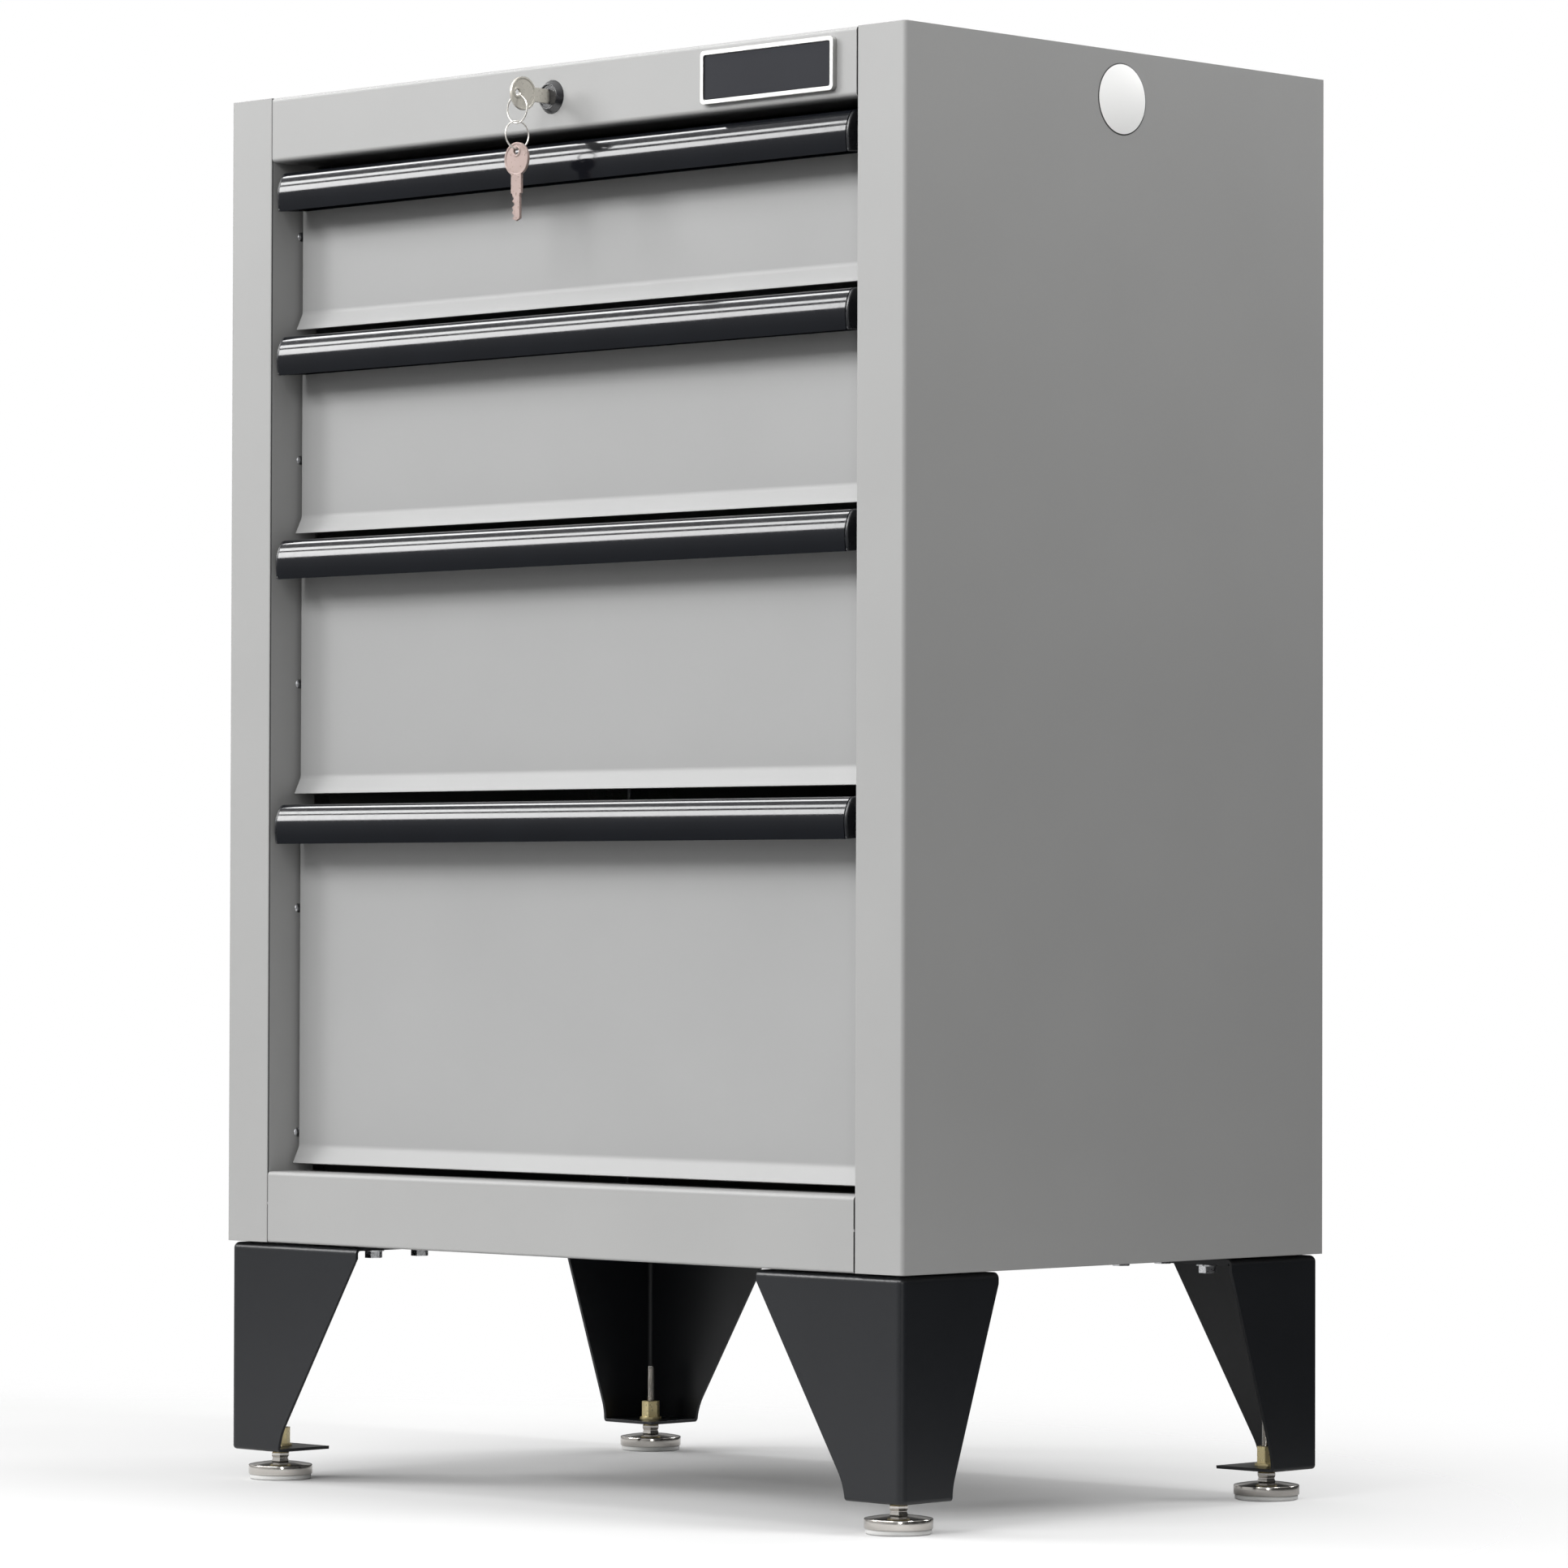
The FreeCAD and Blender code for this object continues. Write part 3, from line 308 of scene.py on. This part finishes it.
# The foot: cap with its dome, hexagon shank, threaded stud, plastic pad
CAP_OUTLINE = [(0, 0.0032), (0.0205, 0.0032), (0.0208, 0.0034), (0.0210, 0.0038), (0.0210, 0.0089),
               (0.0209, 0.0092), (0.0206, 0.0095), (0.0203, 0.0096)]
DOME_REACH = 0.0203
DOME_RADIUS = 0.0992
DOME_TOP = 0.0117
DOME_STEPS = 8
SHANK_SIDES = 6
SHANK_CORNER = 0.00635
SHANK_LOW = 0.0095
SHANK_WAIST = 0.90
SHANK_WAIST_LEVELS = (0.0004, 0.0016, 0.0024, 0.0034)
SHANK_CHAMFER = 0.88
SHANK_CHAMFER_HEIGHT = 0.0008
SHANK_TURN = math.radians(14)
STUD_ABOVE_SHANK = 0.0408
STUD_SEAT = 0.0005
STUD_TIP = 0.0021
THREAD_PITCH = 0.001
THREAD_CREST = 0.0030
THREAD_ROOT = 0.0025
THREAD_STEEPNESS = 1.6
THREAD_FLAT = 0.3
THREAD_ROWS = 5
THREAD_SIDES = 20
PAD_OUTLINE = [(0, 0.0), (0.0190, 0.0), (0.0200, 0.0004), (0.0202, 0.0012), (0.0202, 0.0026),
               (0.0199, 0.0032), (0, 0.0032)]

# The handle, in millimetres: places are behind the body's front and below its own top
CREST_DEPTH = -1.8
CREST_DROP = 15.0
HANDLE_WALL = 1.8
HANDLE_BACK = [(25.0, -24.0), (25.0, -9.9), (24.7, -9.0), (16.6, -0.5), (15.6, 0.0), (12.0, 0.0)]
# From the crest down and from the crest up: drop below the top, and the face's lean in degrees
LEANS_DOWN = [(15.0, 0), (20.0, -6), (26.0, -9)]
LEANS_UP = [(15.0, 0), (12.2, 8), (8.8, 17), (6.0, 25), (3.1, 33), (1.6, 42), (0.8, 60), (0.2, 78),
            (0.0, 88)]
LEAN_STEPS = 6
CAP_THICKNESS = 0.0025
CAP_BEVEL = 0.0011
GRIP_BEVEL = 0.0004


def shell(build, levels, sides, centre=(0, 0, 0), turn=Matrix.Identity(3), radius_at=None):
    """A closed skin round an axis: radius and distance along it, level by level."""
    rings = []
    for radius, level in levels:
        if radius == 0:
            rings.append([build.verts.new(Vector(centre) + turn @ Vector((0, 0, level)))])
            continue
        loop = []
        for side in range(sides):
            angle = 2 * math.pi * side / sides
            reach = radius_at(side, radius, level) if radius_at else radius
            spot = Vector((reach * math.cos(angle), reach * math.sin(angle), level))
            loop.append(build.verts.new(Vector(centre) + turn @ spot))
        rings.append(loop)
    for low, high in zip(rings, rings[1:]):
        for side in range(sides):
            after = (side + 1) % sides
            corners = [low[side % len(low)], low[after % len(low)], high[after % len(high)],
                       high[side % len(high)]]
            build.faces.new(list(dict.fromkeys(corners)))


def finished(name, build, look):
    """The mesh as an object, smooth but for its corners."""
    mesh = bpy.data.meshes.new(name)
    bmesh.ops.recalc_face_normals(build, faces=build.faces)
    build.to_mesh(mesh)
    build.free()
    for face in mesh.polygons:
        face.use_smooth = True
    mesh.set_sharp_from_angle(angle=CREASE)
    made = bpy.data.objects.new(name, mesh)
    bpy.context.scene.collection.objects.link(made)
    mesh.materials.append(look)
    return made


def lathe(name, outline, centre, axis, look, sides=ROUND_SIDES):
    """A turned piece: radius and distance along the axis, from the centre."""
    build = bmesh.new()
    turn = Vector((0, 0, 1)).rotation_difference(Vector(axis)).to_matrix()
    shell(build, outline, sides, centre, turn)
    return finished(name, build, look)


def disc_paint(centre):
    """White face with a thin dark rim, in the object's own space."""
    made = material("side_disc_paint")
    tree = made.node_tree
    shader = tree.nodes["Principled BSDF"]
    place = tree.nodes.new("ShaderNodeTexCoord")
    away = tree.nodes.new("ShaderNodeVectorMath")
    away.operation = "DISTANCE"
    away.inputs[1].default_value = centre
    link(tree, place.outputs["Object"], away.inputs[0])
    ramp = tree.nodes.new("ShaderNodeValToRGB")
    ramp.color_ramp.interpolation = "CONSTANT"
    ramp.color_ramp.elements[0].color = DISC_WHITE
    ramp.color_ramp.elements[1].position = DISC_FACE_SHARE
    ramp.color_ramp.elements[1].color = DISC_RIM
    span = tree.nodes.new("ShaderNodeMapRange")
    span.inputs["From Max"].default_value = DISC_RADIUS
    link(tree, away.outputs["Value"], span.inputs["Value"])
    link(tree, span.outputs["Result"], ramp.inputs["Fac"])
    link(tree, ramp.outputs["Color"], shader.inputs["Base Color"])
    fine = noise(tree, 400.0)
    link(tree, ranged(tree, fine, 0.32, 0.42), shader.inputs["Roughness"])
    link(tree, bumped(tree, fine, 0.00002, 0.2), shader.inputs["Normal"])
    return made


disc_centre = Vector((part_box("right_side")[1].x, DISC_Y, DISC_Z))
disc_outline = [(0, DISC_THICKNESS), (DISC_RADIUS - 0.0003, DISC_THICKNESS),
                (DISC_RADIUS, DISC_THICKNESS / 2), (DISC_RADIUS, 0)]
disc = lathe("side_disc", disc_outline, disc_centre, (1, 0, 0), disc_paint(disc_centre), DISC_SIDES)
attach(disc, "cabinet")


def thread_radius(side, radius, level):
    """The stud's radius at a place: a screw ridge below the given outer radius."""
    turns = level / THREAD_PITCH - side / THREAD_SIDES
    rise = 1 - abs(2 * (turns % 1) - 1)
    ridge = min(1, max(0, THREAD_STEEPNESS * rise - THREAD_FLAT))
    return min(radius, THREAD_ROOT + (THREAD_CREST - THREAD_ROOT) * ridge)


def foot_metal(corner, centre, top):
    """Cap, shank and stud of a foot, from its centre on the ground up to its top."""
    build = bmesh.new()
    dome = []
    for step in range(1, DOME_STEPS + 1):
        reach = DOME_REACH * (1 - step / DOME_STEPS)
        dome.append((reach, DOME_TOP - DOME_RADIUS + math.sqrt(DOME_RADIUS ** 2 - reach ** 2)))
    shell(build, CAP_OUTLINE + dome, ROUND_SIDES, centre)
    shank_top = top - STUD_ABOVE_SHANK
    waist = SHANK_CORNER * SHANK_WAIST
    shank = [(0, SHANK_LOW), (SHANK_CORNER, SHANK_LOW)]
    for radius, level in zip((SHANK_CORNER, waist, waist, SHANK_CORNER), SHANK_WAIST_LEVELS):
        shank.append((radius, DOME_TOP + level))
    shank += [(SHANK_CORNER, shank_top - SHANK_CHAMFER_HEIGHT),
              (SHANK_CORNER * SHANK_CHAMFER, shank_top), (0, shank_top)]
    shell(build, shank, SHANK_SIDES, centre, Matrix.Rotation(SHANK_TURN, 3, "Z"))
    rows = int(STUD_ABOVE_SHANK / THREAD_PITCH * THREAD_ROWS)
    foot = shank_top - STUD_SEAT
    stud = [(0, foot)]
    for row in range(rows + 1):
        level = foot + (STUD_ABOVE_SHANK + STUD_SEAT) * row / rows
        stud.append((min(THREAD_CREST, STUD_TIP + top - level), level))
    shell(build, stud + [(0, top)], THREAD_SIDES, centre, radius_at=thread_radius)
    return finished("foot_metal_" + corner, build, chrome)


for corner in FEET:
    low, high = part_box("foot_" + corner)
    middle = (low + high) / 2
    centre = (middle.x, middle.y, low.z)
    pad = lathe("pad_" + corner, PAD_OUTLINE, centre, (0, 0, 1), pad_plastic)
    for piece in (pad, foot_metal(corner, centre, high.z - low.z)):
        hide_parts("foot_" + corner)
        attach(piece, "foot_" + corner)


def prism(name, outline, x0, x1, look, bevel=GRIP_BEVEL):
    """A closed outline, given as depth and height, drawn out along the width."""
    build = bmesh.new()
    ends = [[build.verts.new((x, y, z)) for y, z in outline] for x in (x0, x1)]
    build.faces.new(ends[0])
    build.faces.new(list(reversed(ends[1])))
    for here in range(len(outline)):
        after = (here + 1) % len(outline)
        build.faces.new([ends[0][after], ends[0][here], ends[1][here], ends[1][after]])
    made = finished(name, build, look)
    soften = made.modifiers.new("soften", "BEVEL")
    soften.width = bevel
    soften.segments = 3
    soften.limit_method = "ANGLE"
    soften.angle_limit = CREASE
    return made


def leaning(leans):
    """The handle's face from its crest on, as it leans more and more."""
    depth = CREST_DEPTH
    run = []
    for (drop, lean), (next_drop, next_lean) in zip(leans, leans[1:]):
        for step in range(1, LEAN_STEPS + 1):
            share = step / LEAN_STEPS
            slant = math.radians(lean + (next_lean - lean) * (share - 0.5 / LEAN_STEPS))
            depth += math.tan(slant) * (drop - next_drop) / LEAN_STEPS
            run.append((depth, -drop - (next_drop - drop) * share))
    return run


def handle_curve():
    """The handle's outer face, from its back over the top to the lower edge."""
    crest = [(CREST_DEPTH, -CREST_DROP)]
    return HANDLE_BACK + list(reversed(leaning(LEANS_UP))) + crest + leaning(LEANS_DOWN)


def inward(points, depth):
    """The same line, shifted by a wall's thickness towards the hollow."""
    shifted = []
    for here in range(len(points)):
        before = points[max(here - 1, 0)]
        after = points[min(here + 1, len(points) - 1)]
        along = Vector((after[0] - before[0], after[1] - before[1])).normalized()
        shifted.append((points[here][0] - along.y * depth, points[here][1] + along.x * depth))
    return shifted


face = handle_curve()
section = face + list(reversed(inward(face, HANDLE_WALL)))
for number in DRAWERS:
    drawer = "drawer_" + str(number)
    low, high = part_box(drawer + "_handle")
    body_front = low.y - CREST_DEPTH / 1000
    profile = [(body_front + depth / 1000, high.z + rise / 1000) for depth, rise in section]
    tube = prism(drawer + "_grip", profile, low.x, high.x, handle_black)
    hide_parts(drawer + "_handle")
    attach(tube, drawer)
    outline = [(body_front + depth / 1000, high.z + rise / 1000) for depth, rise in face]
    for side, start, end in (("left", low.x - CAP_THICKNESS, low.x),
                             ("right", high.x, high.x + CAP_THICKNESS)):
        cap = prism(drawer + "_grip_end_" + side, outline, start, end, cap_black, CAP_BEVEL)
        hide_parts(drawer + "_handle_caps")
        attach(cap, drawer)


# Studio

FLOOR_REACH = 2.0
FLOOR_CENTRE = (-0.25, -0.35, 0)
FLOOR_SOLID = 0.45
FLOOR_GONE = 1.25
GLOW_FROM = (-0.25, -0.25, 0.935)
GLOW_LEAST = 0.05
GLOW_MOST = 1.3


def floor_paint():
    """Pale matt floor that thins out towards its rim."""
    made = material("floor_paint")
    tree = made.node_tree
    shader = tree.nodes["Principled BSDF"]
    shader.inputs["Roughness"].default_value = 0.9
    shader.inputs["Specular IOR Level"].default_value = 0.1
    link(tree, tinted(tree, noise(tree, 3.0), FLOOR_LOW, FLOOR_HIGH), shader.inputs["Base Color"])
    place = tree.nodes.new("ShaderNodeTexCoord")
    away = tree.nodes.new("ShaderNodeVectorMath")
    away.operation = "DISTANCE"
    away.inputs[1].default_value = FLOOR_CENTRE
    link(tree, place.outputs["Object"], away.inputs[0])
    span = tree.nodes.new("ShaderNodeMapRange")
    span.interpolation_type = "SMOOTHSTEP"
    span.inputs["From Min"].default_value = FLOOR_SOLID
    span.inputs["From Max"].default_value = FLOOR_GONE
    span.inputs["To Min"].default_value = 1.0
    span.inputs["To Max"].default_value = 0.0
    link(tree, away.outputs["Value"], span.inputs["Value"])
    link(tree, span.outputs["Result"], shader.inputs["Alpha"])
    return made


mesh = bpy.data.meshes.new("floor")
floor_corners = [(x * FLOOR_REACH, y * FLOOR_REACH, 0) for x, y in ((-1, -1), (1, -1), (1, 1), (-1, 1))]
mesh.from_pydata(floor_corners, [], [(0, 1, 2, 3)])
floor = bpy.data.objects.new("floor", mesh)
bpy.context.scene.collection.objects.link(floor)
mesh.materials.append(floor_paint())


def softbox(name, place, aim, along, width, height, radiance):
    """A rectangular lamp of the given brightness, facing its aim, with its width along a line."""
    lamp = bpy.data.lights.new(name, "AREA")
    lamp.shape = "RECTANGLE"
    lamp.size = width
    lamp.size_y = height
    lamp.energy = radiance * math.pi * width * height
    holder = bpy.data.objects.new(name, lamp)
    bpy.context.scene.collection.objects.link(holder)
    behind = (Vector(place) - Vector(aim)).normalized()
    upward = behind.cross(Vector(along)).normalized()
    turn = Matrix((upward.cross(behind), upward, behind)).transposed().to_4x4()
    holder.matrix_world = Matrix.Translation(place) @ turn


# The three bands stand where the handles mirror them as light along their upper halves.
AIM = (0, -0.2, 0.65)
LEVEL = (1, 0, 0)
softbox("band_low", (-3.58, -3.15, 2.39), AIM, (0.94, -0.30, 0.18), 1.25, 1.05, 19)
softbox("band_middle", (-3.58, -2.39, 3.33), AIM, (0.94, -0.22, 0.27), 1.25, 0.55, 18)
softbox("band_high", (-3.58, -0.93, 4.03), AIM, (0.94, -0.08, 0.34), 1.25, 0.65, 18)
softbox("upper_fill", (-0.9, -2.0, 2.3), (0, -0.2, 0.9), LEVEL, 1.5, 0.5, 9)
softbox("front_fill", (0.3, -2.4, 2.05), (0, -0.2, 0.8), LEVEL, 1.6, 0.8, 13)
softbox("side_fill", (1.6, 0.2, 2.6), (0.3, 0, 0.9), (0, 1, 0), 0.6, 1.0, 22)
softbox("rim_strip", (3.4, -2.9, 1.0), AIM, (0.72, 0.69, 0), 0.4, 1.4, 11)
softbox("back_fill", (0.8, 3.2, 2.2), (0, 0.2, 0.6), LEVEL, 1.4, 0.9, 13)

world = bpy.data.worlds.new("studio")
bpy.context.scene.world = world
world.use_nodes = True
tree = world.node_tree
tree.nodes.clear()
output = tree.nodes.new("ShaderNodeOutputWorld")
seen = add(tree, "ShaderNodeBackground", Color=WHITE, Strength=1.0)
glow = add(tree, "ShaderNodeBackground", Color=WHITE)
way = tree.nodes.new("ShaderNodeTexCoord")
towards = tree.nodes.new("ShaderNodeVectorMath")
towards.operation = "DOT_PRODUCT"
towards.inputs[1].default_value = GLOW_FROM
link(tree, way.outputs["Generated"], towards.inputs[0])
rise = tree.nodes.new("ShaderNodeMapRange")
rise.inputs["From Min"].default_value = 0.0
rise.inputs["To Min"].default_value = GLOW_LEAST
rise.inputs["To Max"].default_value = GLOW_MOST
link(tree, towards.outputs["Value"], rise.inputs["Value"])
link(tree, rise.outputs["Result"], glow.inputs["Strength"])
mix = tree.nodes.new("ShaderNodeMixShader")
path = tree.nodes.new("ShaderNodeLightPath")
link(tree, path.outputs["Is Camera Ray"], mix.inputs["Fac"])
link(tree, glow.outputs["Background"], mix.inputs[1])
link(tree, seen.outputs["Background"], mix.inputs[2])
link(tree, mix.outputs["Shader"], output.inputs["Surface"])

# Camera, as fitted to the photograph
FOCAL_PIXELS = 8264.304
PHOTO_PIXELS = 1932.0
AZIMUTH = math.radians(43.97216)
ELEVATION = math.radians(-1.1475951)
ROLL = math.radians(0.16296146)
STATION = (3.040744, -3.116727, 0.370588)
SENSOR_WIDTH = 36.0
back = Vector((math.sin(AZIMUTH) * math.cos(ELEVATION), -math.cos(AZIMUTH) * math.cos(ELEVATION),
               math.sin(ELEVATION)))
level = Vector((math.cos(AZIMUTH), math.sin(AZIMUTH), 0))
upright = back.cross(level)
right = math.cos(ROLL) * level + math.sin(ROLL) * upright
up = math.cos(ROLL) * upright - math.sin(ROLL) * level
lens = bpy.data.cameras.new("camera")
lens.sensor_width = SENSOR_WIDTH
lens.lens = FOCAL_PIXELS * SENSOR_WIDTH / PHOTO_PIXELS
lens.clip_end = 100.0
camera = bpy.data.objects.new("camera", lens)
turn = Matrix((right, up, back)).transposed().to_4x4()
camera.matrix_world = Matrix.Translation(STATION) @ turn
bpy.context.scene.collection.objects.link(camera)
bpy.context.scene.camera = camera
bpy.context.scene.view_settings.view_transform = "Standard"
